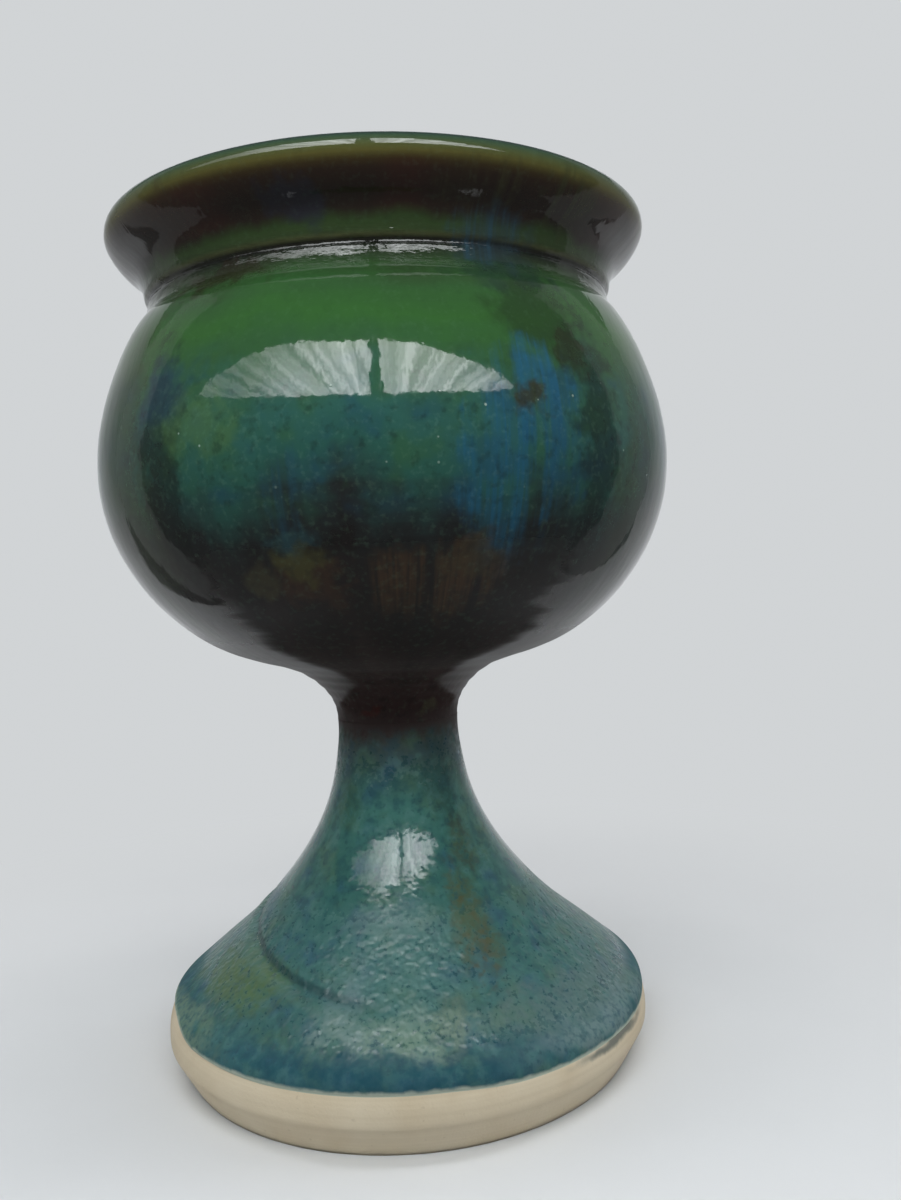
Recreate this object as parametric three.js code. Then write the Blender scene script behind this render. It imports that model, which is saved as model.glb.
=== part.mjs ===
// Wheel-thrown stoneware goblet: a bowl luted to a hollow pedestal, under three coats of glaze.
// Millimetres, +Z up, origin at the centre of the ring that it stands on.
import * as THREE from "three";

// Pedestal, bare clay
const FOOT_BASE_RADIUS = 35.7;
const FOOT_RING_WIDTH = 4.2;
const FOOT_RADIUS = 38.6;
const FOOT_BEVEL_HEIGHT = 5.2;
const FOOT_BAND_HEIGHT = 1.2;
const FOOT_SHOULDER_RADIUS = 6.2;
const FOOT_SLOPE_DEG = 38.5;
const FLARE_FOOT_HANDLE = 21.2;
const FLARE_STEM_HANDLE = 19;
const WAIST_RADIUS = 9.1;
const WAIST_HEIGHT = 53;
const STEM_TOP_RADIUS = 8.4;
const STEM_TOP_RISE = 8.2;
const BORE_RADIUS = 4.2;
const BORE_LENGTH = 17;
const HOLLOW_DEG = 112;
const HOLLOW_FOOT_HANDLE = 9.5;
const HOLLOW_STEM_HANDLE = 13;

// Joint between the pedestal and the bowl
const SLIP_THICKNESS = 0.8;
const COIL_TOP_RADIUS = 20.3;
const COIL_STEM_HANDLE = 4.2;
const COIL_BOWL_HANDLE = 7.4;

// Bowl, bare clay; rises are measured from its seat on the slip
const UNDERSIDE_RISE = 1.5;
const UNDERSIDE_DEG = 13;
const BELLY_RADIUS = 44.2;
const BELLY_RISE = 31;
const BELLY_BASE_HANDLE = 13.8;
const BELLY_LOW_HANDLE = 13.7;
const BELLY_HIGH_HANDLE = 10.1;
const CREASE_RADIUS = 35.3;
const CREASE_RISE = 56.7;
const CREASE_DEG = 122;
const SHOULDER_HANDLE = 8.2;
const COLLAR_SPREAD = 6.3;
const COLLAR_HEIGHT = 9.1;
const COLLAR_DEG = 54;
const COLLAR_NECK_HANDLE = 4.3;
const COLLAR_LIP_HANDLE = 4.9;
const LIP_RADIUS = 1.5;
const BELLY_WALL = 4;
const NECK_WALL = 3.2;
const NECK_DROP = 1.7;
const NECK_DEG = 112;
const NECK_COLLAR_HANDLE = 4;
const NECK_BELLY_HANDLE = 7;
const INSIDE_COLLAR_HANDLE = 6.5;
const INSIDE_HIGH_HANDLE = 12;
const INSIDE_LOW_HANDLE = 15;
const INSIDE_FLOOR_HANDLE = 29;
const FLOOR_THICKNESS = 4.2;

// Glaze coats, thinner at the lip and at the line above the bare foot
const GLAZE_THICKNESS = 0.8;
const LINER_THICKNESS = 0.6;
const LIP_GLAZE_THICKNESS = 0.4;
const LIP_TAPER = 7;
const FOOT_GLAZE_THICKNESS = 0.3;
const FOOT_TAPER = 4;
const GLAZE_LINE_DEG = 28;

const TURNS = 36;

function at(r, z) {
  return new THREE.Vector2(r, z);
}

// The point a given length from another, in a direction measured from the horizontal.
function step(from, length, degrees) {
  const angle = THREE.MathUtils.degToRad(degrees);
  return at(from.x + length * Math.cos(angle), from.y + length * Math.sin(angle));
}

function bezier(start, startHandle, endHandle, end) {
  return new THREE.CubicBezierCurve(start, startHandle, endHandle, end);
}

function arc(centre, radius, fromDegrees, toDegrees, pieces) {
  const points = [];
  for (let i = 0; i <= pieces; i += 1) {
    const degrees = fromDegrees + ((toDegrees - fromDegrees) * i) / pieces;
    points.push(step(centre, radius, degrees));
  }
  return points;
}

// Joins stretches end to end; each starts on the last point of the one before.
function join(...stretches) {
  const points = [...stretches[0]];
  for (const stretch of stretches.slice(1)) {
    points.push(...stretch.slice(1));
  }
  return points;
}

// Smooth change from one thickness to another over the first part of a distance.
function taper(edge, full, distance, length) {
  return edge + (full - edge) * THREE.MathUtils.smoothstep(distance, 0, length);
}

// The face of a coat on the right-hand side of a line of clay.
function coat(line, thicknesses) {
  return line.map((point, i) => {
    const before = line[Math.max(i - 1, 0)];
    const after = line[Math.min(i + 1, line.length - 1)];
    const along = after.clone().sub(before).normalize();
    if (point.x === 0) {
      return at(0, point.y + thicknesses[i]);
    }
    return at(point.x + along.y * thicknesses[i], point.y - along.x * thicknesses[i]);
  });
}

function ring(points) {
  return [...points, points[0]];
}

function revolve(name, profile, color, roughness) {
  const geometry = new THREE.LatheGeometry(profile, TURNS);
  geometry.rotateX(Math.PI / 2);
  const material = new THREE.MeshStandardMaterial({ color, roughness, metalness: 0 });
  const mesh = new THREE.Mesh(geometry, material);
  mesh.name = name;
  return mesh;
}

// Outside of the pedestal: bevel, bare band, shoulder, flare, waist and stem top
const baseEdge = at(FOOT_BASE_RADIUS, 0);
const bevelTop = at(FOOT_RADIUS, FOOT_BEVEL_HEIGHT);
const bandTop = at(FOOT_RADIUS, FOOT_BEVEL_HEIGHT + FOOT_BAND_HEIGHT);
const shoulderCentre = at(FOOT_RADIUS - FOOT_SHOULDER_RADIUS, bandTop.y);
const shoulderEnd = 90 - FOOT_SLOPE_DEG;
const bareShoulder = arc(shoulderCentre, FOOT_SHOULDER_RADIUS, 0, GLAZE_LINE_DEG, 2);
const glazedShoulder = arc(shoulderCentre, FOOT_SHOULDER_RADIUS, GLAZE_LINE_DEG, shoulderEnd, 2);
const flareStart = glazedShoulder.at(-1);
const waist = at(WAIST_RADIUS, WAIST_HEIGHT);
const flare = bezier(
  flareStart,
  step(flareStart, FLARE_FOOT_HANDLE, 180 - FOOT_SLOPE_DEG),
  step(waist, FLARE_STEM_HANDLE, -90),
  waist,
).getPoints(9);
const stemTop = at(STEM_TOP_RADIUS, WAIST_HEIGHT + STEM_TOP_RISE);

// Inside of the pedestal: bore and trumpet-shaped hollow
const boreTop = at(BORE_RADIUS, stemTop.y);
const boreBottom = at(BORE_RADIUS, stemTop.y - BORE_LENGTH);
const ringEdge = at(FOOT_BASE_RADIUS - FOOT_RING_WIDTH, 0);
const hollow = bezier(
  boreBottom,
  step(boreBottom, HOLLOW_STEM_HANDLE, -90),
  step(ringEdge, HOLLOW_FOOT_HANDLE, HOLLOW_DEG),
  ringEdge,
).getPoints(6);
const pedestalOutside = join(
  [baseEdge, bevelTop, bandTop],
  bareShoulder,
  glazedShoulder,
  flare,
  [waist, stemTop],
);

// Bowl: seat, underside, belly, shoulder, crease, collar and lip
const seatHeight = stemTop.y + SLIP_THICKNESS;
const seatEdge = at(STEM_TOP_RADIUS, seatHeight);
const coilTop = at(COIL_TOP_RADIUS, seatHeight + UNDERSIDE_RISE);
const belly = at(BELLY_RADIUS, seatHeight + BELLY_RISE);
const crease = at(CREASE_RADIUS, seatHeight + CREASE_RISE);
const lipStart = at(CREASE_RADIUS + COLLAR_SPREAD, crease.y + COLLAR_HEIGHT);
const lipCentre = step(lipStart, LIP_RADIUS, COLLAR_DEG + 90);
const bellyLow = bezier(
  coilTop,
  step(coilTop, BELLY_BASE_HANDLE, UNDERSIDE_DEG),
  step(belly, BELLY_LOW_HANDLE, -90),
  belly,
).getPoints(6);
const bellyHigh = bezier(
  belly,
  step(belly, BELLY_HIGH_HANDLE, 90),
  step(crease, SHOULDER_HANDLE, CREASE_DEG + 180),
  crease,
).getPoints(4);
const collar = bezier(
  crease,
  step(crease, COLLAR_NECK_HANDLE, 90),
  step(lipStart, COLLAR_LIP_HANDLE, COLLAR_DEG + 180),
  lipStart,
).getPoints(4);
const lipOutside = arc(lipCentre, LIP_RADIUS, COLLAR_DEG - 90, 90, 3);
const lipInside = arc(lipCentre, LIP_RADIUS, 90, COLLAR_DEG + 90, 2);

// Inside of the bowl, from the lip down to the middle of the floor
const lipEnd = lipInside.at(-1);
const neck = at(CREASE_RADIUS - NECK_WALL, crease.y - NECK_DROP);
const insideBelly = at(BELLY_RADIUS - BELLY_WALL, belly.y);
const floor = at(0, seatHeight + FLOOR_THICKNESS);
const insideCollar = bezier(
  lipEnd,
  step(lipEnd, INSIDE_COLLAR_HANDLE, COLLAR_DEG + 180),
  step(neck, NECK_COLLAR_HANDLE, NECK_DEG),
  neck,
).getPoints(3);
const insideHigh = bezier(
  neck,
  step(neck, NECK_BELLY_HANDLE, NECK_DEG + 180),
  step(insideBelly, INSIDE_HIGH_HANDLE, 90),
  insideBelly,
).getPoints(3);
const insideLow = bezier(
  insideBelly,
  step(insideBelly, INSIDE_LOW_HANDLE, -90),
  step(floor, INSIDE_FLOOR_HANDLE, 0),
  floor,
).getPoints(6);
const inside = join(lipInside, insideCollar, insideHigh, insideLow);

// Coil worked into the corner between stem and bowl
const coilOutside = bezier(
  waist,
  step(waist, COIL_STEM_HANDLE, 90),
  step(coilTop, COIL_BOWL_HANDLE, UNDERSIDE_DEG + 180),
  coilTop,
).getPoints(5);

// Glazed line of clay, from the bare foot up to the top of the lip and down to the floor
const pedestalGlazed = join(glazedShoulder, flare);
const bowlOutside = join(bellyLow, bellyHigh, collar, lipOutside);
const bowlGlazed = join(coilOutside, bowlOutside);
const glazed = join(pedestalGlazed, bowlGlazed, inside);
const meeting = pedestalGlazed.length - 1;
const lipTop = meeting + bowlGlazed.length - 1;
const reached = [0];
for (let i = 1; i < glazed.length; i += 1) {
  reached.push(reached[i - 1] + glazed[i].distanceTo(glazed[i - 1]));
}
const thicknesses = reached.map((distance, i) => {
  const full = i > lipTop ? LINER_THICKNESS : GLAZE_THICKNESS;
  const fromLip = Math.abs(distance - reached[lipTop]);
  return Math.min(
    taper(FOOT_GLAZE_THICKNESS, full, distance, FOOT_TAPER),
    taper(LIP_GLAZE_THICKNESS, full, fromLip, LIP_TAPER),
  );
});
const glazeFace = coat(glazed, thicknesses);

const goblet = new THREE.Group();
goblet.name = "goblet";
goblet.add(
  revolve("pedestal", ring([...pedestalOutside, boreTop, ...hollow]), 0xb9a88a, 0.85),
  revolve(
    "joint_slip",
    ring([boreTop, stemTop, seatEdge, at(BORE_RADIUS, seatHeight)]),
    0xb3a58c,
    0.9,
  ),
  revolve("joint_coil", ring([...coilOutside, seatEdge, stemTop]), 0xb3a58c, 0.9),
  revolve(
    "bowl",
    [at(0, seatHeight), seatEdge, ...join(bowlOutside, inside)],
    0xb9a88a,
    0.85,
  ),
  revolve(
    "pedestal_glaze",
    ring([...glazeFace.slice(0, meeting + 1), ...pedestalGlazed.toReversed()]),
    0x2f5f63,
    0.2,
  ),
  revolve(
    "bowl_glaze",
    ring([...glazeFace.slice(meeting, lipTop + 1), ...bowlGlazed.toReversed()]),
    0x1f4330,
    0.12,
  ),
  revolve("liner_glaze", [...inside.toReversed(), ...glazeFace.slice(lipTop)], 0x24442f, 0.12),
);

export default goblet;
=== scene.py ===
import math

import bpy
import numpy as np
from mathutils import Matrix, Vector


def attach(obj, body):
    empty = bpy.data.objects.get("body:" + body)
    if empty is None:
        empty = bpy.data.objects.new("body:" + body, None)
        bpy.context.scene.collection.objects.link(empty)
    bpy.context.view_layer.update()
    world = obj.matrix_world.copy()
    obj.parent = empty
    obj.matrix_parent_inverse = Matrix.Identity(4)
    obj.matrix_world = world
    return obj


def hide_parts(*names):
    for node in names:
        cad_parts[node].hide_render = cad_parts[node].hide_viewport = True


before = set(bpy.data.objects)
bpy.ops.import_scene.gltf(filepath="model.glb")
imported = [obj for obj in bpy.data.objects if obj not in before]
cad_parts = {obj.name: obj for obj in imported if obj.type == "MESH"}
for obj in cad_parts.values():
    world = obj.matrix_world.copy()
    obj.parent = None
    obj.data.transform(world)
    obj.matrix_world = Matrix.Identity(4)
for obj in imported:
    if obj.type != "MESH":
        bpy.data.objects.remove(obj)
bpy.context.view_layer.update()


# Pedestal: a hollow foot and stem thrown in buff stoneware on the wheel, then trimmed with a loop tool.
# The bevelled edge, the band above it and the hollow underneath are bare fired clay.
CLAY_STEP = 0.0005
CLAY_TURNS = 240
CLAY_CORNER = 25
CLAY_EDGE_SOFTNESS = 0.00022
TRIM_RING_PITCH = 0.0024
TRIM_RING_DEPTH = 0.00012
STANDING_RING_TOP = 0.0005
CLAY_IOR = 1.35
ON_PLANE = 2e-6


def section_of(node):
    """The outline of a turned CAD piece in the plane y = 0: its (radius, height) points, anticlockwise."""
    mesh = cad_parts[node].data
    spot = {
        v.index: (round(v.co.x, 6), round(v.co.z, 6))
        for v in mesh.vertices
        if abs(v.co.y) < ON_PLANE and v.co.x > -ON_PLANE
    }
    beside = {}
    for edge in mesh.edges:
        a, b = (spot.get(i) for i in edge.vertices)
        if a and b and a != b:
            beside.setdefault(a, set()).add(b)
            beside.setdefault(b, set()).add(a)
    ends = sorted(p for p in beside if len(beside[p]) == 1)
    walk = [ends[0] if ends else min(beside)]
    while True:
        onward = sorted(p for p in beside[walk[-1]] if p not in walk)
        if not onward:
            break
        walk.append(onward[0])
    points = np.array(walk)
    r, z = points.T
    area = np.sum(r * np.roll(z, -1) - z * np.roll(r, -1))
    return points if area > 0 else points[::-1]


def lengths(line):
    """The length of each stretch of a line."""
    return np.hypot(*np.diff(line, axis=0).T)


def curve_through(points, step):
    """Points about one step apart on the smooth curve through the given ones."""
    span = lengths(points)
    t = np.r_[0, np.cumsum(span)]
    n = len(points)
    system, side = np.eye(n), np.zeros((n, 2))
    for i in range(1, n - 1):
        before, after = span[i - 1], span[i]
        system[i, i - 1 : i + 2] = before, 2 * (before + after), after
        rise = (points[i + 1] - points[i]) / after - (points[i] - points[i - 1]) / before
        side[i] = 6 * rise
    if n > 3:
        system[0, 1] = system[-1, -2] = -1
    second = np.linalg.solve(system, side)
    fine = np.linspace(0, t[-1], max(2, int(round(t[-1] / step)) + 1))
    k = np.clip(np.searchsorted(t, fine, side="right") - 1, 0, n - 2)
    h = span[k][:, None]
    a = (t[k + 1] - fine)[:, None] / h
    b = 1 - a
    bend = (a**3 - a) * second[k] + (b**3 - b) * second[k + 1]
    return a * points[k] + b * points[k + 1] + bend * h**2 / 6


def refine(points, step, left_corner, right_corner):
    """A finer line through points, smooth except at turns to the left or right beyond the corner angles."""
    stretch = np.diff(points, axis=0)
    turn = np.degrees(np.diff(np.unwrap(np.arctan2(stretch[:, 1], stretch[:, 0]))))
    sharp = np.nonzero((turn > left_corner) | (turn < -right_corner))[0] + 1
    stops = [0, *sharp, len(points) - 1]
    runs = [curve_through(points[a : b + 1], step) for a, b in zip(stops, stops[1:])]
    return np.vstack([runs[0], *[run[1:] for run in runs[1:]]])


def soften(line, width):
    """Rounds the corners of an evenly spaced line over about that width."""
    gap = lengths(line).mean()
    reach = max(1, int(round(3 * width / gap)))
    weight = np.exp(-0.5 * (np.arange(-reach, reach + 1) * gap / width) ** 2)
    weight /= weight.sum()
    first = 2 * line[0] - line[reach:0:-1]
    last = 2 * line[-1] - line[-2 : -reach - 2 : -1]
    long = np.vstack([first, line, last])
    return np.stack([np.convolve(long[:, i], weight, "valid") for i in (0, 1)], axis=1)


def outward(line):
    """Unit vectors square to a line, on its right-hand side."""
    along = np.gradient(line, axis=0)
    along /= np.linalg.norm(along, axis=1)[:, None]
    return np.stack([along[:, 1], -along[:, 0]], axis=1)


def turned_piece(name, radius, height, sharp_rows=()):
    """A mesh turned round the axis, with one row of radii and heights per point of the closed section."""
    rows, turns = radius.shape
    angle = np.linspace(0, 2 * math.pi, turns, endpoint=False)
    spots = np.stack([radius * np.sin(angle), -radius * np.cos(angle), height], axis=-1)
    index = np.arange(rows * turns).reshape(rows, turns)
    below, above = index, np.roll(index, -1, axis=0)
    corners = [below, np.roll(below, -1, axis=1), np.roll(above, -1, axis=1), above]
    faces = np.stack(corners, axis=-1).reshape(-1, 4)
    mesh = bpy.data.meshes.new(name)
    mesh.from_pydata(spots.reshape(-1, 3).tolist(), [], faces.tolist())
    mesh.shade_smooth()
    ends = np.zeros(len(mesh.edges) * 2, int)
    mesh.edges.foreach_get("vertices", ends)
    row = ends.reshape(-1, 2) // turns
    sharp = (row[:, 0] == row[:, 1]) & np.isin(row[:, 0], sharp_rows)
    mesh.edges.foreach_set("use_edge_sharp", sharp)
    piece = bpy.data.objects.new(name, mesh)
    bpy.context.scene.collection.objects.link(piece)
    return piece


def rings(angle, height, pitch, starts=1):
    """Rings that the turning wheel leaves, from 0 to 1: they wind round the axis like a screw thread."""
    return 0.5 + 0.5 * np.sin(2 * math.pi * height / pitch + starts * angle)


foot_outline = section_of("pedestal")
lowest = int(np.argmin(10 * foot_outline[:, 1] + foot_outline[:, 0]))
foot_outline = np.roll(foot_outline, -lowest, axis=0)
foot_line = refine(np.vstack([foot_outline, foot_outline[:1]]), CLAY_STEP, CLAY_CORNER, CLAY_CORNER)
foot_line = soften(foot_line, CLAY_EDGE_SOFTNESS)[:-1]
foot_line[:, 1] = np.maximum(foot_line[:, 1], 0)
foot_angle = np.linspace(0, 2 * math.pi, CLAY_TURNS, endpoint=False)
foot_out = outward(foot_line)
looks_in = foot_out[:, 0] < -0.05
looks_down = (foot_out[:, 1] < -0.6) & (foot_line[:, 1] > STANDING_RING_TOP)
in_hollow = (looks_in | looks_down)[:, None]
trim_cut = TRIM_RING_DEPTH * rings(foot_angle, foot_line[:, 1:], TRIM_RING_PITCH) * in_hollow
foot_clay = turned_piece(
    "foot_clay",
    foot_line[:, :1] - trim_cut * foot_out[:, :1],
    foot_line[:, 1:] - trim_cut * foot_out[:, 1:],
)


def rgb(red, green, blue):
    """A colour as the eye reads it on a screen, from 0 to 255, turned into the light that it stands for."""
    parts = [c / 255 for c in (red, green, blue)]
    return (*[c / 12.92 if c <= 0.04045 else ((c + 0.055) / 1.055) ** 2.4 for c in parts], 1.0)


class Recipe:
    """A node material in the making, with its shader and the nodes' common sums.

    Heights are in millimetres above the floor.
    Angles are in degrees round the axis, 0 in front and plus to the right.
    """

    def __init__(self, name):
        self.material = bpy.data.materials.new(name)
        self.material.use_nodes = True
        self.tree = self.material.node_tree
        self.shader = self.tree.nodes["Principled BSDF"]
        self.place = self.tree.nodes.new("ShaderNodeTexCoord").outputs["Object"]
        x, y, z = self.add("ShaderNodeSeparateXYZ", Vector=self.place).outputs
        self.height = self.times(z, 1000.0)
        self.angle = self.sum("DEGREES", self.sum("ARCTAN2", x, self.times(y, -1.0)))
        flat = self.add("ShaderNodeCombineXYZ", X=x, Y=y).outputs[0]
        self.around = self.add("ShaderNodeVectorMath", operation="NORMALIZE", Vector=flat).outputs[0]

    def add(self, kind, operation=None, **inputs):
        """A new node with its inputs set or linked by name."""
        node = self.tree.nodes.new(kind)
        if operation:
            node.operation = operation
        for name, value in inputs.items():
            self.feed(node.inputs[name.replace("_", " ")], value)
        return node

    def feed(self, socket, value):
        """Links a socket to another one, or sets it to a value."""
        if isinstance(value, bpy.types.NodeSocket):
            self.tree.links.new(value, socket)
        else:
            socket.default_value = value

    def sum(self, operation, *values):
        """One step of arithmetic."""
        node = self.tree.nodes.new("ShaderNodeMath")
        node.operation = operation
        for socket, value in zip(node.inputs, values):
            self.feed(socket, value)
        return node.outputs[0]

    def times(self, first, *others):
        """The product of all the values."""
        for value in others:
            first = self.sum("MULTIPLY", first, value)
        return first

    def plus(self, first, *others):
        """All the values added up."""
        for value in others:
            first = self.sum("ADD", first, value)
        return first

    def sway(self, noise, reach, about=0.0):
        """Sways about a value with a noise of 0 to 1, by half the reach to each side."""
        return self.sum("MULTIPLY_ADD", self.sum("SUBTRACT", noise, 0.5), reach, about)

    def ease(self, value, low, high, start=0.0, end=1.0):
        """Goes smoothly from start to end as value goes from low to high."""
        node = self.tree.nodes.new("ShaderNodeMapRange")
        node.interpolation_type = "SMOOTHSTEP"
        names = ("Value", "From Min", "From Max", "To Min", "To Max")
        for name, part in zip(names, (value, low, high, start, end)):
            self.feed(node.inputs[name], part)
        return node.outputs[0]

    def grain(self, size, detail=2.0, where=None):
        """Noise with lumps about that size in millimetres, from 0 to 1."""
        node = self.add("ShaderNodeTexNoise", Vector=where or self.place, Detail=detail)
        node.inputs["Scale"].default_value = 1000.0 / size if where is None else 1.0 / size
        return node.outputs[0]

    def runs(self, across, down, detail=2.0, shift=0.0):
        """Noise drawn out along the height: lumps so many degrees wide and so many millimetres tall."""
        wide = self.add("ShaderNodeVectorMath", operation="SCALE", Vector=self.around, Scale=57.3 / across)
        along = self.sum("MULTIPLY_ADD", self.height, 1.0 / down, shift)
        tall = self.add("ShaderNodeCombineXYZ", Z=along)
        where = self.add("ShaderNodeVectorMath", operation="ADD")
        self.feed(where.inputs[0], wide.outputs[0])
        self.feed(where.inputs[1], tall.outputs[0])
        return self.grain(1.0, detail, where.outputs[0])

    def bands(self, value, stops):
        """Colours blended in turn as value passes each stop."""
        low, high = stops[0][0], stops[-1][0]
        node = self.tree.nodes.new("ShaderNodeValToRGB")
        self.feed(node.inputs[0], self.sum("DIVIDE", self.sum("SUBTRACT", value, low), high - low))
        marks = node.color_ramp.elements
        for i, (stop, colour) in enumerate(stops):
            mark = marks[i] if i < 2 else marks.new(1.0)
            mark.position, mark.color = (stop - low) / (high - low), rgb(*colour)
        return node.outputs[0]

    def mix(self, share, under, over, how="MIX"):
        """Lays one colour over another by a share."""
        node = self.tree.nodes.new("ShaderNodeMix")
        node.data_type, node.blend_type = "RGBA", how
        for socket, value in zip((node.inputs[0], node.inputs[6], node.inputs[7]), (share, under, over)):
            self.feed(socket, value)
        return node.outputs[2]

    def wander(self, size, degrees, millimetres):
        """Lets the outlines of patches wander by about so many degrees and millimetres."""
        lumps = self.add("ShaderNodeTexNoise", Vector=self.place, Scale=1000.0 / size, Detail=3.0)
        sideways, upward = self.add("ShaderNodeSeparateColor", Color=lumps.outputs["Color"]).outputs[:2]
        self.patch_angle = self.sway(sideways, 4 * degrees, self.angle)
        self.patch_height = self.sway(upward, 4 * millimetres, self.height)

    def patch(self, angle, half_width, height, half_height, edge=0.35, rough=0.0, noise=None):
        """1 in an oval patch of the surface and 0 outside it, with a soft or ragged edge."""
        turn = self.sum("MODULO", self.plus(self.sum("SUBTRACT", self.patch_angle, angle), 540.0), 360.0)
        across = self.sum("DIVIDE", self.sum("SUBTRACT", turn, 180.0), half_width)
        along = self.sum("DIVIDE", self.sum("SUBTRACT", self.patch_height, height), half_height)
        square = self.plus(self.sum("POWER", across, 2.0), self.sum("POWER", along, 2.0))
        away = self.sum("SQRT", square)
        if noise is not None:
            away = self.sway(noise, rough, away)
        return self.ease(away, 1.0 + edge, 1.0 - edge)

    def bump(self, height, depth, under=None):
        """A surface normal from a height of 0 to 1, so many millimetres deep."""
        node = self.add("ShaderNodeBump", Height=height, Distance=depth / 1000)
        node.inputs["Strength"].default_value = 1.0
        if under is not None:
            self.feed(node.inputs["Normal"], under)
        return node.outputs[0]

    def finish(self, colour, roughness, normal, ior):
        """Feeds the shader and gives the material."""
        self.feed(self.shader.inputs["Base Color"], colour)
        self.feed(self.shader.inputs["Roughness"], roughness)
        self.feed(self.shader.inputs["Normal"], normal)
        self.shader.inputs["IOR"].default_value = ior
        return self.material


clay = Recipe("stoneware")
clay.wander(4.0, 3.0, 0.5)
turning = clay.runs(200.0, 0.55, 3.0)
grit = clay.grain(0.35, 2.0)
iron = clay.ease(clay.grain(0.75, 1.0), 0.71, 0.79, 0.0, 0.14)
glaze_smear = clay.times(clay.patch(51, 13, 8.0, 0.6, 0.6), 0.85)
clay_tone = clay.bands(
    clay.grain(9.0, 4.0),
    [(0.3, (212, 196, 168)), (0.5, (218, 204, 178)), (0.7, (222, 209, 184))],
)
clay_tone = clay.mix(clay.ease(turning, 0.35, 0.75, 0.0, 0.15), clay_tone, rgb(186, 168, 138))
clay_tone = clay.mix(iron, clay_tone, rgb(128, 104, 74))
clay_tone = clay.mix(glaze_smear, clay_tone, rgb(98, 106, 102))
clay_dullness = clay.ease(grit, 0.2, 0.8, 0.85, 1.0)
clay_skin = clay.bump(turning, 0.015, clay.bump(grit, 0.035))
stoneware = clay.finish(clay_tone, clay_dullness, clay_skin, CLAY_IOR)
foot_clay.data.materials.append(stoneware)
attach(foot_clay, "root")
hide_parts("pedestal")


# Bowl, slip and coil: the thrown bowl is luted to the stem with slip, and a coil is worked into the corner.
# All three are buff stoneware under the glaze, so their solids stay as they are, in the same clay.
for hidden in ("bowl", "joint_slip", "joint_coil"):
    clay_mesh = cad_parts[hidden].data
    clay_mesh.materials.clear()
    clay_mesh.materials.append(stoneware)


# Foot glaze: a copper and cobalt coat, poured over the pedestal and wiped back from the bare edge.
# It lies thin and mottled on the slope, with a spiral mark of the thrower's finger on the left.
# At the top of the stem it turns brown and dull, where the bowl's glaze has run into it.
COAT_STEP = 0.0004
COAT_TURNS = 300
END_FACE = 0.0009
UNDER_ROWS = 40
UNDER_CORNERS = 50, 30
ROW_CROWDING = 1.15
FOOT_EDGE = [
    (38.30, 8.40), (38.29, 9.00), (38.26, 9.45), (38.13, 10.05), (37.93, 10.48), (37.67, 10.85),
    (37.36, 11.17),
]
FOOT_EDGE_UNDER = [(38.28, 8.28), (38.10, 8.78)]
EDGE_ROUND = 0.0005
EDGE_LEVEL, EDGE_DIP, EDGE_CLIMB = 9.2, 0.65, 1.2
EDGE_WAVE = 0.0002
DIP_START, DIP_END = (5.0, 24.0), (150.0, 100.0)
CLIMB_START, CLIMB_END = (-56.0, -72.0), (-130.0, -104.0)
FINGER_MARK_DEPTH, FINGER_MARK_WIDTH = 0.0005, 0.0005
FINGER_RIDGE_SHARE, FINGER_RIDGE_BELOW = 0.3, 0.0014
MARK_LOW, MARK_CLIMB = 0.0172, 0.0052
MARK_FROM, MARK_SPAN, MARK_CURVE = 8.0, 75.0, 1.2
MARK_DEEPENS, MARK_DARKENS, MARK_ENDS = (-2.0, -32.0), (2.0, -30.0), (-150.0, -110.0)
HOLLOW_DEPTH, HOLLOW_HEIGHT, HOLLOW_WIDTH = 0.00028, 0.0215, 0.0035
FOOT_WAVE = 0.00006
STEM_TOP = 53.0
STEM_BROWN = (62, 46, 44)
LEAST_DULLNESS = 0.06
FOOT_GLAZE_IOR = 1.48


def outer_first(node):
    """The glazed line and the clay line of an outer coat, each in the order of the section."""
    points = section_of(node)
    gaps = lengths(np.vstack([points, points[:1]]))
    points = np.roll(points, -int(np.nonzero(gaps < END_FACE)[0][0]) - 1, axis=0)
    split = len(points) // 2
    one, two = points[:split], points[split:]
    return (one, two) if one[0, 1] < one[-1, 1] else (two, one)


foot_face, foot_under = outer_first("pedestal_glaze")
bowl_face, bowl_under = outer_first("bowl_glaze")
liner_points = section_of("liner_glaze")
liner_start = int(np.argmin(np.hypot(*(liner_points - bowl_face[-1]).T)))
liner_face, liner_under = liner_points[liner_start:], liner_points[:liner_start]


def coat_line(before, own, after):
    """The smooth face of a coat, which runs on from the coat before it and into the coat after it."""
    line = curve_through(np.vstack([before, own, after]), COAT_STEP)
    first = int(np.argmin(np.hypot(*(line - own[0]).T)))
    last = int(np.argmin(np.hypot(*(line - own[-1]).T)))
    line = line[first : last + 1]
    line[0], line[-1] = own[0], own[-1]
    return line


def bump_at(value, centre, width):
    """1 at the centre, falling away softly on both sides."""
    return np.exp(-0.5 * ((value - centre) / width) ** 2)


def share_of(value, low, high):
    """Goes evenly from 0 to 1 as value goes from low to high."""
    return np.clip((value - low) / (high - low), 0, 1)


def step_over(value, low, high):
    """Goes smoothly from 0 to 1 as value goes from low to high."""
    share = share_of(value, low, high)
    return share * share * (3 - 2 * share)


def ripple(angle, height, seed, turns, waves):
    """A slow uneven wave round a hand-made piece, from 0 to 1."""
    rng = np.random.default_rng(seed)
    total = np.zeros(np.broadcast(angle, height).shape)
    for _ in range(waves):
        across, along = rng.integers(1, turns + 1), rng.uniform(-0.15, 0.15)
        total += np.sin(across * angle + along * height * 1000 + rng.uniform(0, 2 * math.pi))
    return 0.5 + 0.5 * total / waves


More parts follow.
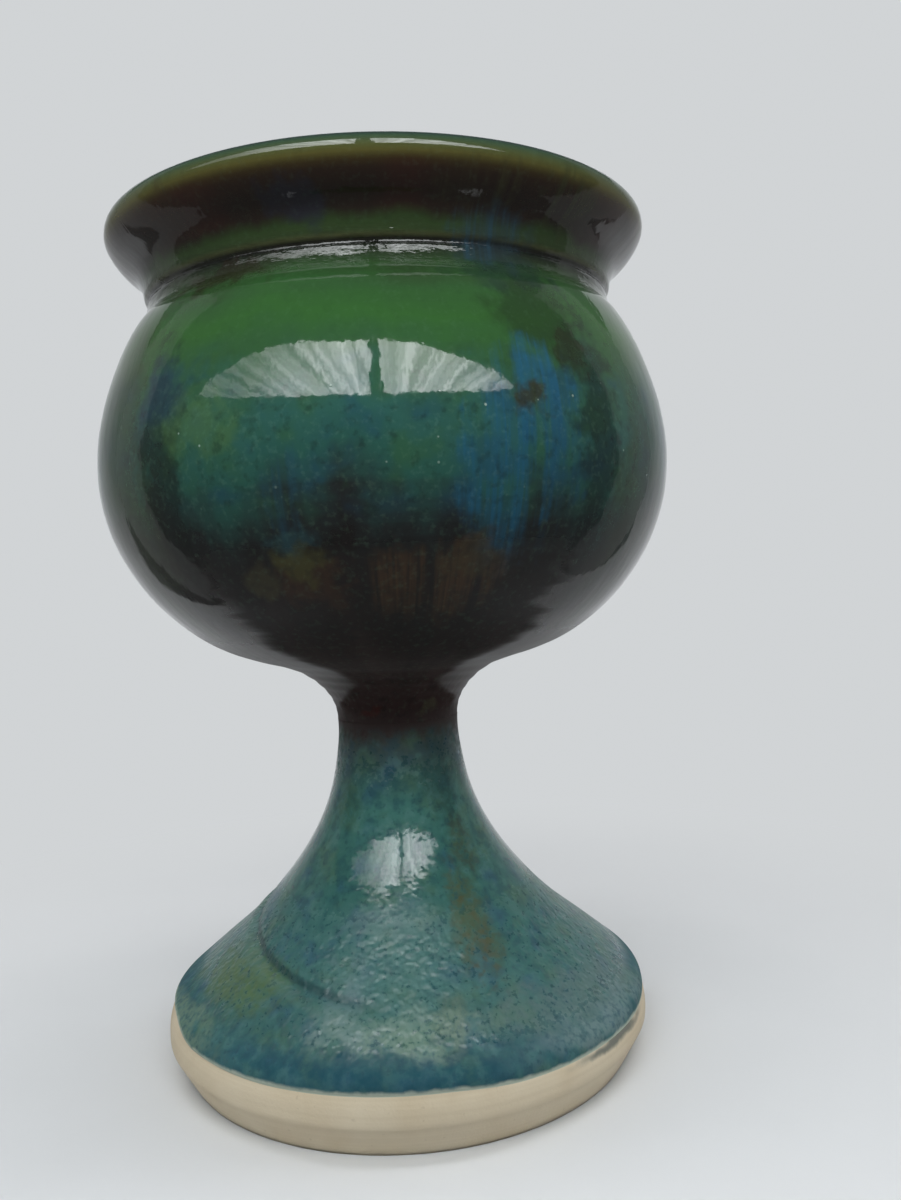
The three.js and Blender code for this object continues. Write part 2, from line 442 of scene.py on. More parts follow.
coat_angle = np.linspace(0, 2 * math.pi, COAT_TURNS, endpoint=False)
coat_degrees = np.degrees((coat_angle + math.pi) % (2 * math.pi) - math.pi)
foot_edge = np.array(FOOT_EDGE) / 1000
foot_coat_line = coat_line(foot_face[:0], np.vstack([foot_edge, foot_face[2:]]), bowl_face[1:3])
foot_back = np.vstack([np.array(FOOT_EDGE_UNDER) / 1000, foot_under[::-1]])
under_line = refine(foot_back, COAT_STEP, *UNDER_CORNERS)
along_coat = np.r_[0, np.cumsum(lengths(foot_coat_line))]
along_under = np.r_[0, np.cumsum(lengths(under_line))]
along_under *= along_coat[-1] / along_under[-1]

# The lower edge dips and climbs by hand, so each column of the mesh starts at its own height.
edge_height = EDGE_LEVEL - EDGE_DIP * step_over(coat_degrees, *DIP_START) * step_over(coat_degrees, *DIP_END)
edge_height += EDGE_CLIMB * step_over(coat_degrees, *CLIMB_START) * step_over(coat_degrees, *CLIMB_END)
edge_rise = edge_height / 1000 - foot_edge[0, 1] + EDGE_WAVE * (ripple(coat_angle, 0.0, 3, 14, 8) - 0.5)
share = np.linspace(0, 1, len(foot_coat_line))[:, None] ** ROW_CROWDING
reach = edge_rise + share * (along_coat[-1] - edge_rise)
coat_r = np.interp(reach, along_coat, foot_coat_line[:, 0])
coat_z = np.interp(reach, along_coat, foot_coat_line[:, 1])
under_r = np.interp(reach, along_under, under_line[:, 0])
under_z = np.interp(reach, along_under, under_line[:, 1])
from_edge = np.clip((reach - edge_rise) / EDGE_ROUND, 0, 1)
swell = np.sqrt(1 - (1 - from_edge) ** 2)
foot_normal = outward(foot_coat_line)
normal_r = np.interp(reach, along_coat, foot_normal[:, 0])
normal_z = np.interp(reach, along_coat, foot_normal[:, 1])
mark_turn = np.clip((-coat_degrees - MARK_FROM) / MARK_SPAN, 0, 2)
mark_height = MARK_LOW + MARK_CLIMB * mark_turn**MARK_CURVE
mark_strength = share_of(coat_degrees, *MARK_DEEPENS) * share_of(coat_degrees, *MARK_ENDS)
finger_ridge = bump_at(coat_z, mark_height - FINGER_RIDGE_BELOW, FINGER_MARK_WIDTH)
finger = bump_at(coat_z, mark_height, FINGER_MARK_WIDTH) - FINGER_RIDGE_SHARE * finger_ridge
dent = FINGER_MARK_DEPTH * mark_strength * finger
dent += HOLLOW_DEPTH * bump_at(coat_z, HOLLOW_HEIGHT, HOLLOW_WIDTH)
dent += FOOT_WAVE * ripple(coat_angle, coat_z, 5, 4, 6)
coat_r = under_r + (coat_r - under_r) * swell - dent * normal_r
coat_z = under_z + (coat_z - under_z) * swell - dent * normal_z
under_rows = np.linspace(len(share) - 1, 0, UNDER_ROWS).astype(int)
foot_coat = turned_piece(
    "foot_coat",
    np.vstack([coat_r, under_r[under_rows]]),
    np.vstack([coat_z, under_z[under_rows]]),
    [len(coat_r) - 1],
)

teal = Recipe("foot_glaze")
teal.wander(5.0, 4.0, 1.6)
drift = teal.runs(16.0, 9.0, 3.0)
cloud = teal.grain(4.5, 4.0)
curd = teal.grain(1.9, 3.0)
speck = teal.grain(0.8, 2.0)
foot_tone = teal.bands(
    teal.sway(drift, 7.0, teal.height),
    [
        (8.0, (56, 101, 104)),
        (11.0, (40, 88, 95)),
        (14.0, (52, 98, 97)),
        (18.0, (60, 106, 102)),
        (24.0, (56, 105, 101)),
        (32.0, (54, 102, 94)),
        (40.0, (62, 112, 104)),
        (44.0, (58, 100, 94)),
        (47.0, (56, 88, 84)),
        (50.5, (60, 74, 71)),
        (54.0, (62, 62, 59)),
    ],
)
for noise, none, full, most, colour in (
    (cloud, 0.50, 0.70, 0.55, (74, 108, 84)),
    (cloud, 0.48, 0.30, 0.50, (44, 82, 110)),
    (curd, 0.50, 0.68, 0.40, (84, 126, 122)),
    (curd, 0.50, 0.34, 0.45, (30, 68, 80)),
    (speck, 0.45, 0.28, 0.40, (24, 56, 70)),
):
    foot_tone = teal.mix(teal.ease(noise, none, full, 0.0, most), foot_tone, rgb(*colour))
dapple = teal.ease(speck, 0.3, 0.6, 0.35, 1.15)
for angle, half_width, height, half_height, colour, most in (
    (-58, 18, 17, 2.6, (84, 108, 56), 0.65),
    (26, 8, 25, 6, (74, 86, 56), 0.6),
    (38, 9, 34, 3.5, (66, 66, 42), 0.45),
    (-46, 16, 40, 3.0, (46, 74, 54), 0.4),
    (10, 4, 15.5, 2.4, (104, 98, 62), 0.3),
    (46, 26, 14.2, 2.6, (96, 120, 118), 0.6),
    # The next three pale patches, on the front of the slope, are painted sheen from the window's light.
    (-3, 19, 14.7, 2.0, (124, 148, 132), 0.6),
    (-3, 20, 22, 6, (88, 128, 124), 0.45),
    (-18, 6, 17, 3.5, (108, 136, 138), 0.5),
    (52, 26, 11.0, 1.5, (116, 138, 138), 0.6),
    (-66, 16, 10.9, 1.6, (110, 134, 114), 0.6),
    (34, 16, 44, 6.0, (34, 58, 54), 0.5),
    (150, 30, 22, 5, (86, 102, 54), 0.5),
    (-140, 18, 28, 5, (102, 92, 46), 0.5),
):
    spot = teal.patch(angle, half_width, height, half_height, 0.5, 1.2, curd)
    foot_tone = teal.mix(teal.times(spot, dapple, most), foot_tone, rgb(*colour))
rust_fleck = teal.ease(teal.grain(1.2, 2.0), 0.46, 0.66, 0.0, 0.5)
rust = teal.times(teal.patch(24, 8, 24.5, 6.5, 0.6, 1.2, cloud), rust_fleck)
foot_tone = teal.mix(rust, foot_tone, rgb(88, 80, 46))
low_band = teal.patch(-4, 30, 10.9, 2.2, 0.5, 0.8, curd)
low_band = teal.times(low_band, teal.ease(curd, 0.3, 0.6, 0.9, 0.5))
foot_tone = teal.mix(low_band, foot_tone, rgb(16, 70, 84))

# The glaze pools dark in the finger mark and thins over the ridge below it.
turned_left = teal.sum("DIVIDE", teal.sum("SUBTRACT", -MARK_FROM, teal.angle), MARK_SPAN)
mark_rise = teal.sum("POWER", teal.sum("MAXIMUM", turned_left, 0.0), MARK_CURVE)
mark_line = teal.sum("MULTIPLY_ADD", mark_rise, 1000 * MARK_CLIMB, 1000 * MARK_LOW)
mark_gap = teal.sum("SUBTRACT", teal.height, mark_line)
in_mark = teal.times(teal.ease(teal.angle, *MARK_DARKENS), teal.ease(teal.angle, *MARK_ENDS))
pooled = teal.times(teal.ease(teal.sum("ABSOLUTE", mark_gap), 0.8, 0.15), in_mark, 0.7)
foot_tone = teal.mix(pooled, foot_tone, rgb(26, 62, 66))
ridge_gap = teal.sum("ABSOLUTE", teal.plus(mark_gap, 1.3))
ridge = teal.times(teal.ease(ridge_gap, 0.7, 0.1), in_mark, 0.25)
foot_tone = teal.mix(ridge, foot_tone, rgb(98, 130, 112))

# The brown comes down the stem with a ragged edge, and the lower edge is thin enough for the clay to show,
# with a pale line along it that is partly a painted highlight.
ragged = teal.times(teal.sway(curd, 5.0, teal.sway(drift, 6.0)), teal.ease(teal.height, STEM_TOP, 51.0))
brown = teal.ease(teal.plus(teal.height, ragged), 49.2, 53.3)
foot_tone = teal.mix(brown, foot_tone, rgb(*STEM_BROWN))
edge_dip = teal.ease(teal.angle, *DIP_START, 0.0, -EDGE_DIP)
edge_dip = teal.times(edge_dip, teal.ease(teal.angle, *DIP_END))
edge_climb = teal.ease(teal.angle, *CLIMB_START, 0.0, EDGE_CLIMB)
edge_climb = teal.times(edge_climb, teal.ease(teal.angle, *CLIMB_END))
edge_gap = teal.sum("SUBTRACT", teal.height, teal.plus(edge_dip, edge_climb, EDGE_LEVEL))
# The pale line along the edge is partly thin glaze and partly a painted highlight on the edge's roll.
pale_edge_and_glint = teal.ease(teal.sum("MULTIPLY_ADD", curd, 0.8, edge_gap), 1.15, 0.55, 0.0, 0.9)
foot_tone = teal.mix(pale_edge_and_glint, foot_tone, rgb(186, 196, 180))

# The slope is satin with a fine orange peel, the stem is glossy, and the edge and the brown are dull.
foot_dullness = teal.times(
    teal.ease(teal.height, 29.0, 24.5, 0.3, 1.0),
    teal.ease(teal.height, 12.6, 14.5, 0.2, 0.34),
    teal.ease(speck, 0.2, 0.8, 0.7, 1.3),
)
stipple = teal.times(
    teal.sway(speck, 1.2, teal.sway(curd, 0.6)),
    teal.ease(teal.height, 40.0, 46.0),
    teal.ease(teal.height, STEM_TOP, 50.0),
)
foot_dullness = teal.plus(
    foot_dullness,
    teal.ease(edge_gap, 5.0, 2.0, 0.0, 0.65),
    teal.ease(teal.height, 42.0, STEM_TOP, 0.0, 0.59),
    stipple,
)
foot_dullness = teal.sum("MAXIMUM", foot_dullness, LEAST_DULLNESS)
peel = teal.times(
    teal.sway(teal.grain(1.3, 1.0), 1.0),
    teal.ease(teal.height, 26.0, 22.0, 0.12, 1.0),
    teal.ease(teal.height, 11.5, 13.5, 0.3, 1.0),
)
foot_skin = teal.bump(peel, 0.34, teal.bump(teal.grain(7.0, 2.0), 0.08))
foot_coat.data.materials.append(teal.finish(foot_tone, foot_dullness, foot_skin, FOOT_GLAZE_IOR))
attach(foot_coat, "root")
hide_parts("pedestal_glaze")


# Bowl glaze: two glazes over each other, green over iron brown, that ran down the belly in the kiln.
# Cobalt has streaked the right side blue; on the lip and on the edge of the collar the coat breaks olive.
NECK = [
    (37.80, 115.60), (37.27, 116.22), (36.95, 116.80), (36.74, 117.48), (36.62, 118.15), (36.54, 118.60),
    (36.28, 118.98), (36.72, 119.42), (37.02, 120.00), (37.14, 120.80), (37.42, 121.75),
]
LIP = [
    (42.05, 127.35), (42.30, 127.90), (42.42, 128.50), (42.38, 129.10), (42.20, 129.70), (41.85, 130.15),
    (41.25, 130.48),
]
SHOULDER_TOP = 0.1145
COLLAR_FROM, COLLAR_TO = 0.1225, 0.1272
COIL_RING_DEPTH, COIL_RING_PITCH = 0.00010, 0.0015
COIL_HEIGHT, COIL_SPREAD = 0.0585, 0.003
THROWING_RING_DEPTH, THROWING_RING_PITCH = 0.00002, 0.0075
BOWL_WAVE = 0.00012
BOWL_GLAZE_IOR = 1.46

shoulder = bowl_face[bowl_face[:, 1] < SHOULDER_TOP]
collar = bowl_face[(bowl_face[:, 1] > COLLAR_FROM) & (bowl_face[:, 1] < COLLAR_TO)]
bowl_points = np.vstack([shoulder, np.array(NECK) / 1000, collar, np.array(LIP) / 1000, bowl_face[-1:]])
bowl_line = coat_line(foot_face[-3:-1], bowl_points, liner_face[1:3])
bowl_normal = outward(bowl_line)
z = bowl_line[:, 1:]
dent = COIL_RING_DEPTH * rings(coat_angle, z, COIL_RING_PITCH, 2) * bump_at(z, COIL_HEIGHT, COIL_SPREAD)
dent = dent + THROWING_RING_DEPTH * rings(coat_angle, z, THROWING_RING_PITCH)
dent = dent + BOWL_WAVE * ripple(coat_angle, z, 11, 3, 6)
bowl_back = np.repeat(bowl_under[:, :, None], COAT_TURNS, axis=2)
bowl_coat = turned_piece(
    "bowl_coat",
    np.vstack([bowl_line[:, :1] - dent * bowl_normal[:, :1], bowl_back[:, 0]]),
    np.vstack([bowl_line[:, 1:] - dent * bowl_normal[:, 1:], bowl_back[:, 1]]),
    [0, len(bowl_line) - 1, len(bowl_line), len(bowl_line) + len(bowl_under) - 1],
)

green = Recipe("bowl_glaze")
green.wander(4.0, 2.6, 1.8)
drips = green.runs(6.0, 16.0, 3.0)
slow_drips = green.runs(22.0, 40.0, 2.0)
wiping = green.runs(60.0, 1.6, 3.0)
cloud = green.grain(6.5, 3.0)
curds = green.grain(2.2, 3.0)
mottle = green.grain(0.8, 3.0)
flow = green.times(green.sway(drips, 1.0), green.ease(green.height, 117.0, 98.0, 0.6, 11.0))
flow = green.sway(wiping, 5.0, green.sway(slow_drips, 12.0, flow))
flow = green.times(flow, green.ease(green.height, 118.5, 112.0))
feather = green.times(
    green.ease(green.height, 120.1, 121.1),
    green.ease(green.height, 124.6, 122.6),
    green.sway(drips, 3.0),
)
bowl_tone = green.bands(
    green.plus(green.height, flow, feather),
    [
        # The first three stops, on the underside by the stem, are painted light: lighter than the brown
        # glaze, to lift the shade under the bowl.
        (52.0, (65, 48, 46)),
        (58.0, (64, 46, 44)),
        (62.0, (56, 41, 38)),
        (68.0, (38, 24, 22)),
        (74.0, (28, 20, 18)),
        (79.0, (27, 25, 24)),
        (82.0, (33, 38, 38)),
        (85.5, (36, 61, 57)),
        (89.5, (38, 82, 72)),
        (95.0, (42, 86, 78)),
        (99.0, (42, 82, 68)),
        (104.0, (44, 80, 48)),
        (109.0, (46, 88, 40)),
        (113.0, (44, 80, 42)),
        (116.0, (43, 68, 38)),
        # The next three stops darken to near black at the crease: painted shade in the notch under the
        # collar.
        (117.6, (36, 48, 30)),
        (118.7, (14, 15, 12)),
        (119.2, (16, 16, 12)),
        (119.5, (74, 78, 48)),
        (120.0, (44, 58, 32)),
        (121.2, (42, 60, 30)),
        (122.7, (36, 28, 22)),
        (126.2, (42, 29, 20)),
        (127.0, (56, 45, 22)),
        (127.8, (84, 80, 38)),
        (128.6, (74, 80, 44)),
        (129.5, (50, 70, 50)),
        # The last two stops, dark on top of the lip, are a painted dark reflection where the lip turns up.
        (130.1, (22, 40, 38)),
        (130.6, (22, 40, 38)),
    ],
)
on_belly = green.times(green.ease(green.height, 82.0, 88.0), green.ease(green.height, 108.0, 100.0, 0.0, 0.6))
bowl_tone = green.mix(green.times(green.ease(cloud, 0.5, 0.7), on_belly), bowl_tone, rgb(28, 66, 86))
bowl_tone = green.mix(green.times(green.ease(cloud, 0.5, 0.3), on_belly), bowl_tone, rgb(46, 86, 52))
collar_stain = green.times(
    green.ease(slow_drips, 0.45, 0.75),
    green.ease(green.height, 121.5, 123.5),
    green.ease(green.height, 128.0, 126.5, 0.0, 0.6),
)
bowl_tone = green.mix(collar_stain, bowl_tone, rgb(58, 28, 22))
fine_streaks = green.ease(green.runs(0.7, 9.0, 3.0, 2.0), 0.25, 0.65, 0.35, 1.0)
streaks = green.times(green.ease(green.runs(2.2, 22.0, 3.0, 7.0), 0.36, 0.62), fine_streaks)
for angle, half_width, height, half_height, colour, most, streaked in (
    (-56, 12, 91, 24, (44, 54, 28), 0.6, False),
    (54, 9, 84, 16, (38, 52, 34), 0.5, False),
    # The next two narrow dark bands, at the sides of the belly, are painted dark reflection where the pale
    # side strips end.
    (-41, 4.5, 90, 16, (20, 26, 23), 0.7, False),
    (39, 4.5, 92, 16, (20, 30, 30), 0.65, False),
    (29, 9, 109, 6, (28, 42, 24), 0.6, False),
    (-34, 12, 116.2, 1.5, (36, 26, 20), 0.6, False),
    (26, 11, 116, 3, (30, 46, 44), 0.5, False),
    (25, 9, 97, 7, (30, 84, 112), 0.75, True),
    (19, 7, 88, 9, (30, 84, 110), 0.85, True),
    (29, 5, 91, 9, (28, 70, 96), 0.6, True),
    (27, 5, 100.5, 4, (34, 86, 112), 0.5, True),
    (22, 7, 120, 3.4, (36, 72, 90), 0.65, True),
    (24, 8, 119.5, 3.6, (40, 52, 60), 0.4, False),
    (-16, 3.2, 86, 7, (34, 72, 88), 0.5, True),
    (-41, 5, 101, 4.5, (36, 62, 80), 0.5, False),
    (-15, 5, 123.6, 2.6, (36, 40, 52), 0.6, False),
    (20, 7, 125.4, 2.4, (58, 58, 34), 0.6, True),
    (40, 7, 125.5, 3.0, (52, 60, 34), 0.55, True),
    (-40, 9, 125.5, 2.0, (54, 42, 28), 0.5, True),
    (-32, 7, 96.5, 3.5, (68, 102, 60), 0.55, False),
    (-17, 4.5, 81.2, 1.3, (44, 74, 78), 0.55, False),
    (-15, 6.5, 75.0, 2.6, (62, 40, 24), 0.7, False),
    (-25, 3.6, 76.0, 1.7, (66, 62, 40), 0.6, False),
    (-16.5, 3.8, 78.2, 2.4, (72, 70, 34), 0.75, False),
    (8, 12, 75.5, 4.2, (76, 54, 32), 0.8, True),
    (14, 5, 77.5, 2.2, (66, 58, 38), 0.5, False),
    (24, 2.6, 98, 2.4, (48, 46, 26), 0.85, False),
    (-25, 11, 54.9, 0.8, (84, 36, 30), 0.55, False),
    (26, 9, 55.3, 1.1, (82, 76, 58), 0.6, False),
    (35, 3.4, 104.5, 2.8, (34, 36, 22), 0.7, False),
    (120, 16, 92, 11, (28, 80, 106), 0.8, True),
    (-110, 14, 89, 9, (30, 72, 98), 0.7, True),
    (165, 12, 77, 5, (62, 52, 26), 0.65, False),
    (-150, 9, 78, 4, (60, 54, 28), 0.65, False),
    (85, 10, 76, 4.6, (54, 46, 26), 0.65, False),
):
    spot = green.times(green.patch(angle, half_width, height, half_height, 0.45, 1.2, curds), most)
    if streaked:
        spot = green.times(spot, streaks)
    bowl_tone = green.mix(spot, bowl_tone, rgb(*colour))

# Pale flecks and dark soot are finest low on the belly, and a few pinholes show in the middle of it.
flecks = green.times(green.ease(mottle, 0.5, 0.75), green.ease(green.height, 105.0, 96.0, 0.06, 0.16))
bowl_tone = green.mix(flecks, bowl_tone, rgb(80, 110, 90), "SCREEN")
soot = green.ease(green.grain(1.3, 3.0), 0.5, 0.25)
soot = green.times(soot, green.ease(green.height, 105.0, 96.0, 0.1, 0.36))
bowl_tone = green.mix(soot, bowl_tone, rgb(14, 20, 18))
pin_cell = green.add("ShaderNodeTexVoronoi", Vector=green.place, Scale=400.0)
pin_pick = green.add("ShaderNodeSeparateColor", Color=pin_cell.outputs["Color"]).outputs[0]
pinholes = green.times(
    green.ease(pin_cell.outputs["Distance"], 0.09, 0.04),
    green.ease(pin_pick, 0.42, 0.5),
    green.ease(green.height, 84.0, 94.0),
    green.ease(green.height, 103.0, 98.0),
)
bowl_tone = green.mix(green.times(pinholes, 0.7), bowl_tone, rgb(150, 172, 160))

# The coat is glassy, and dry only where it was wiped thin, in front under the belly and round the coil.
dry_edge = green.plus(
    green.sway(wiping, 16.0, green.sum("ABSOLUTE", green.angle)),
    green.ease(green.height, 69.0, 61.0, 0.0, 8.0),
    green.ease(green.height, 60.0, 55.5, 0.0, -32.0),
)
dry = green.times(
    green.ease(green.height, 83.0, 77.0),
    green.ease(dry_edge, 40.0, 31.0),
    green.ease(green.height, STEM_TOP, 56.5),
)
bowl_dullness = green.plus(
    green.ease(mottle, 0.2, 0.8, 0.035, 0.07),
    green.ease(green.height, 73.0, 62.0, 0.0, 0.42),
    green.ease(green.height, 57.0, STEM_TOP, 0.0, 0.22),
    green.times(dry, 0.55),
)
neck_marks = green.times(
    green.ease(green.height, 115.0, 116.5),
    green.ease(green.height, 121.5, 120.0),
    green.sway(green.runs(5.0, 0.9, 3.0), 1.0),
)
bowl_skin = green.bump(green.grain(2.0), 0.018)
for unevenness, depth in (
    (mottle, 0.002),
    (green.runs(5.0, 9.0, 3.0, 3.0), 0.06),
    (green.grain(9.0, 1.0), 0.05),
    (pinholes, 0.02),
    (neck_marks, 0.14),
):
    bowl_skin = green.bump(unevenness, depth, bowl_skin)
bowl_coat.data.materials.append(green.finish(bowl_tone, bowl_dullness, bowl_skin, BOWL_GLAZE_IOR))
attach(bowl_coat, "root")
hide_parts("bowl_glaze")


# Liner glaze: the coat poured round the inside of the bowl, which meets the outer one on the top of the lip.
# It is the same green, and it pools darker on the floor.
LINER_RING_DEPTH, LINER_RING_PITCH = 0.00005, 0.006
LINER_FLOOR_RADIUS = 0.02
LINER_LIP, LINER_LIP_FADE = 0.128, 0.004
LINER_GLAZE_IOR = 1.47

liner_line = coat_line(bowl_face[-3:-1], liner_face, liner_face[:0])
liner_normal = outward(liner_line)
liner_normal[-1] = 0, 1
r, z = liner_line[:, :1], liner_line[:, 1:]
dent = LINER_RING_DEPTH * rings(coat_angle, z, LINER_RING_PITCH)
dent = dent * np.clip(r / LINER_FLOOR_RADIUS, 0, 1) * np.clip((LINER_LIP - z) / LINER_LIP_FADE, 0, 1)
liner_back = np.repeat(liner_under[:, :, None], COAT_TURNS, axis=2)
liner_coat = turned_piece(
    "liner_coat",
    np.vstack([liner_back[:, 0], np.maximum(r - dent * liner_normal[:, :1], 0)]),
    np.vstack([liner_back[:, 1], z - dent * liner_normal[:, 1:]]),
    [0, len(liner_under) - 1, len(liner_under)],
)
inner = Recipe("liner_glaze")
pool = inner.grain(12.0, 3.0)
inner_mottle = inner.grain(1.0, 3.0)
inner_height = inner.sway(inner.runs(90.0, 2.2, 3.0), 5.0, inner.height)
inner_height = inner.sway(inner.runs(6.0, 26.0, 3.0), 7.0, inner_height)
inner_tone = inner.bands(
    inner_height,
    [
        (64.0, (16, 44, 40)),
        (72.0, (22, 60, 48)),
        (90.0, (34, 84, 48)),
        (110.0, (44, 98, 42)),
        (122.0, (40, 66, 32)),
        (127.0, (60, 66, 30)),
        (130.6, (74, 84, 42)),
    ],
)
inner_tone = inner.mix(inner.ease(pool, 0.5, 0.75, 0.0, 0.6), inner_tone, rgb(24, 70, 66))
inner_tone = inner.mix(inner.ease(inner_mottle, 0.5, 0.2, 0.0, 0.4), inner_tone, rgb(10, 16, 12))
inner_dullness = inner.ease(inner_mottle, 0.2, 0.8, 0.035, 0.08)
inner_skin = inner.bump(inner_mottle, 0.0025, inner.bump(inner.grain(9.0, 1.0), 0.05))
liner_coat.data.materials.append(inner.finish(inner_tone, inner_dullness, inner_skin, LINER_GLAZE_IOR))
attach(liner_coat, "root")
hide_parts("liner_glaze")


# Floor: a plain pale floor without an edge, which fades into the pale room around it.
# Only the camera sees it, and it takes the goblet's shadow. From underneath it is clear.
FLOOR_REACH = 6.0
FADE_FROM, FADE_TO = 0.042, 0.16
ROOM_PALE = 0.67
ROOM_TINT = (0.95, 0.98, 1.0, 1.0)
PAPER_TONES = [(0.3, (214, 216, 218)), (0.7, (219, 221, 223))]
PAPER_DULLNESS, PAPER_IOR = 0.9, 1.45

floor_mesh = bpy.data.meshes.new("floor")
floor_corners = [(x * FLOOR_REACH, y * FLOOR_REACH, 0) for x, y in ((-1, -1), (1, -1), (1, 1), (-1, 1))]
floor_mesh.from_pydata(floor_corners, [], [(0, 1, 2, 3)])
floor = bpy.data.objects.new("floor", floor_mesh)
floor.visible_diffuse = floor.visible_glossy = floor.visible_transmission = floor.visible_shadow = False
bpy.context.scene.collection.objects.link(floor)


def let_through(recipe, share):
    """Makes the sheet clear where share is 1."""
    gap = recipe.add("ShaderNodeMixShader", Fac=share)
    recipe.feed(gap.inputs[1], recipe.shader.outputs[0])
    recipe.feed(gap.inputs[2], recipe.add("ShaderNodeBsdfTransparent").outputs[0])
    recipe.feed(recipe.tree.nodes["Material Output"].inputs["Surface"], gap.outputs[0])


def from_foot(recipe):
    """How far a point of the sheet is from the middle of the foot."""
    return recipe.add("ShaderNodeVectorMath", operation="LENGTH", Vector=recipe.place).outputs["Value"]


ground = Recipe("floor")
fade = ground.ease(from_foot(ground), FADE_FROM, FADE_TO)
ground_tone = ground.mix(fade, ground.bands(ground.grain(60.0, 3.0), PAPER_TONES), rgb(0, 0, 0))
ground.shader.inputs["Specular IOR Level"].default_value = 0
ground.shader.inputs["Emission Color"].default_value = ROOM_TINT
ground.feed(ground.shader.inputs["Emission Strength"], ground.times(fade, ROOM_PALE))
ground.finish(ground_tone, PAPER_DULLNESS, ground.bump(ground.grain(0.8, 2.0), 0.01), PAPER_IOR)
let_through(ground, ground.add("ShaderNodeNewGeometry").outputs["Backfacing"])
floor_mesh.materials.append(ground.material)


# Paper: a pale sheet on a table that widens toward the back. The glaze mirrors it, the camera doesn't see it.
# It hangs over the front and the sides, and behind the goblet it rises in a wide cove to a broad wall.
# Under the foot it has a round hole, so that the hollow isn't pitch dark.
PAPER_LEVEL = -0.00005
PAPER_HOLE = 0.0365
FRONT_EDGE = -0.0440
FLOOR_BACK = 0.24
LEFT_AT_FRONT, LEFT_SPREAD = 0.061, 0.30
RIGHT_AT_FRONT, RIGHT_SPREAD = 0.072, 0.45
TABLE_FLARE = 2.7
TABLE_ROWS = 9
PAPER_ROLL = 0.006
PAPER_HANG = 0.5
BEND_STEPS = 18
COVE_RADIUS = 0.20
WALL_FOOT = COVE_RADIUS + 0.08
WALL_STEP = 0.001
WALL_TOP = 0.55
WALL_HALF_WIDTH = 0.95

quarter = np.linspace(0, math.pi / 2, BEND_STEPS + 1)[1:]
roll_over = [(PAPER_ROLL * math.sin(q), PAPER_ROLL * (math.cos(q) - 1)) for q in quarter]
roll_over += [(PAPER_ROLL, -PAPER_HANG)]
paper_rows = [(FRONT_EDGE - out, drop) for out, drop in reversed(roll_over)]
paper_rows += [(y, 0.0) for y in np.linspace(FRONT_EDGE, FLOOR_BACK, TABLE_ROWS)]
paper_rows += [(FLOOR_BACK + COVE_RADIUS * math.sin(q), COVE_RADIUS * (1 - math.cos(q))) for q in quarter]
paper_rows += [(FLOOR_BACK + COVE_RADIUS, h) for h in (WALL_FOOT, WALL_FOOT + WALL_STEP, WALL_TOP)]
spots = []
for y, h in paper_rows:
    back = max(y - FRONT_EDGE, 0)
    left = LEFT_AT_FRONT + LEFT_SPREAD * back + TABLE_FLARE * back**2
    right = RIGHT_AT_FRONT + RIGHT_SPREAD * back + TABLE_FLARE * back**2
    if h > WALL_FOOT:
        left = right = WALL_HALF_WIDTH
    hang = 1 if y <= FLOOR_BACK else 0
    spots += [(-left - hang * out, y, h + hang * drop) for out, drop in reversed(roll_over)]
    spots += [(x, y, h) for x in np.linspace(-left, right, TABLE_ROWS)]
    spots += [(right + hang * out, y, h + hang * drop) for out, drop in roll_over]
count = len(spots) // len(paper_rows)
tiles = [
    (i * count + j, i * count + j + 1, (i + 1) * count + j + 1, (i + 1) * count + j)
    for i in range(len(paper_rows) - 1)
    for j in range(count - 1)
]
paper_mesh = bpy.data.meshes.new("floor_paper")
paper_mesh.from_pydata(spots, [], tiles)
paper_mesh.shade_smooth()
floor_paper = bpy.data.objects.new("floor_paper", paper_mesh)
floor_paper.location.z = PAPER_LEVEL
floor_paper.visible_camera = False
bpy.context.scene.collection.objects.link(floor_paper)
paper = Recipe("floor_paper")
paper_tone = paper.bands(paper.grain(60.0, 3.0), PAPER_TONES)
paper.finish(paper_tone, PAPER_DULLNESS, paper.bump(paper.grain(0.8, 2.0), 0.01), PAPER_IOR)
let_through(paper, paper.sum("LESS_THAN", from_foot(paper), PAPER_HOLE))
paper_mesh.materials.append(paper.material)


# Light: a broad arched window of folded cloth with one upright bar, high in front of the goblet.
# Two faint tall panels stand at its sides, and a soft lamp hangs over the paper behind it.
# The room gives a little light from all round, and the camera sees it pale.
WINDOW_CENTRE = Vector((0, 0, 0.09))
WINDOW_DISTANCE = 0.26
WINDOW_TINT = (0.96, 0.99, 1.0, 1.0)
WINDOW_DIM, WINDOW_BRIGHT = 3.6, 11.4
WINDOW_LEFT = (-71, -5.4), (-71, -4.6)
WINDOW_RIGHT = (0.4, 47), (-1.4, 47)
BRIGHTEST_AT, MIDDLE_SPAN, MIDDLE_SHARE = 2.0, 18.0, 1.05
OUTER_SPAN, OUTER_SHARE = 62.0, 0.22
FAN_MIDDLE, FAN_FOOT, FAN_FOLDS = 1.0, 140.0, 17.0
EAVE, SILL = 44.6, 24.3
ARCH_MIDDLE, ARCH_HALF_WIDTH = -12, 60
PANEL_STEPS = 24
SIDE_DISTANCE, SIDE_LIGHT = 0.36, 0.34
SIDE_BOTTOM, SIDE_TOP = -40, 50
SIDE_SPANS = {"left": (-115, -96), "right": (90.5, 116)}
LAMP_WIDTH, LAMP_DEPTH, LAMP_WATTS = 1.0, 0.3, 5.0
LAMP_PLACE, LAMP_TILT = (0.1, 0.0, 0.75), math.radians(46)
ROOM_LIGHT = 0.16


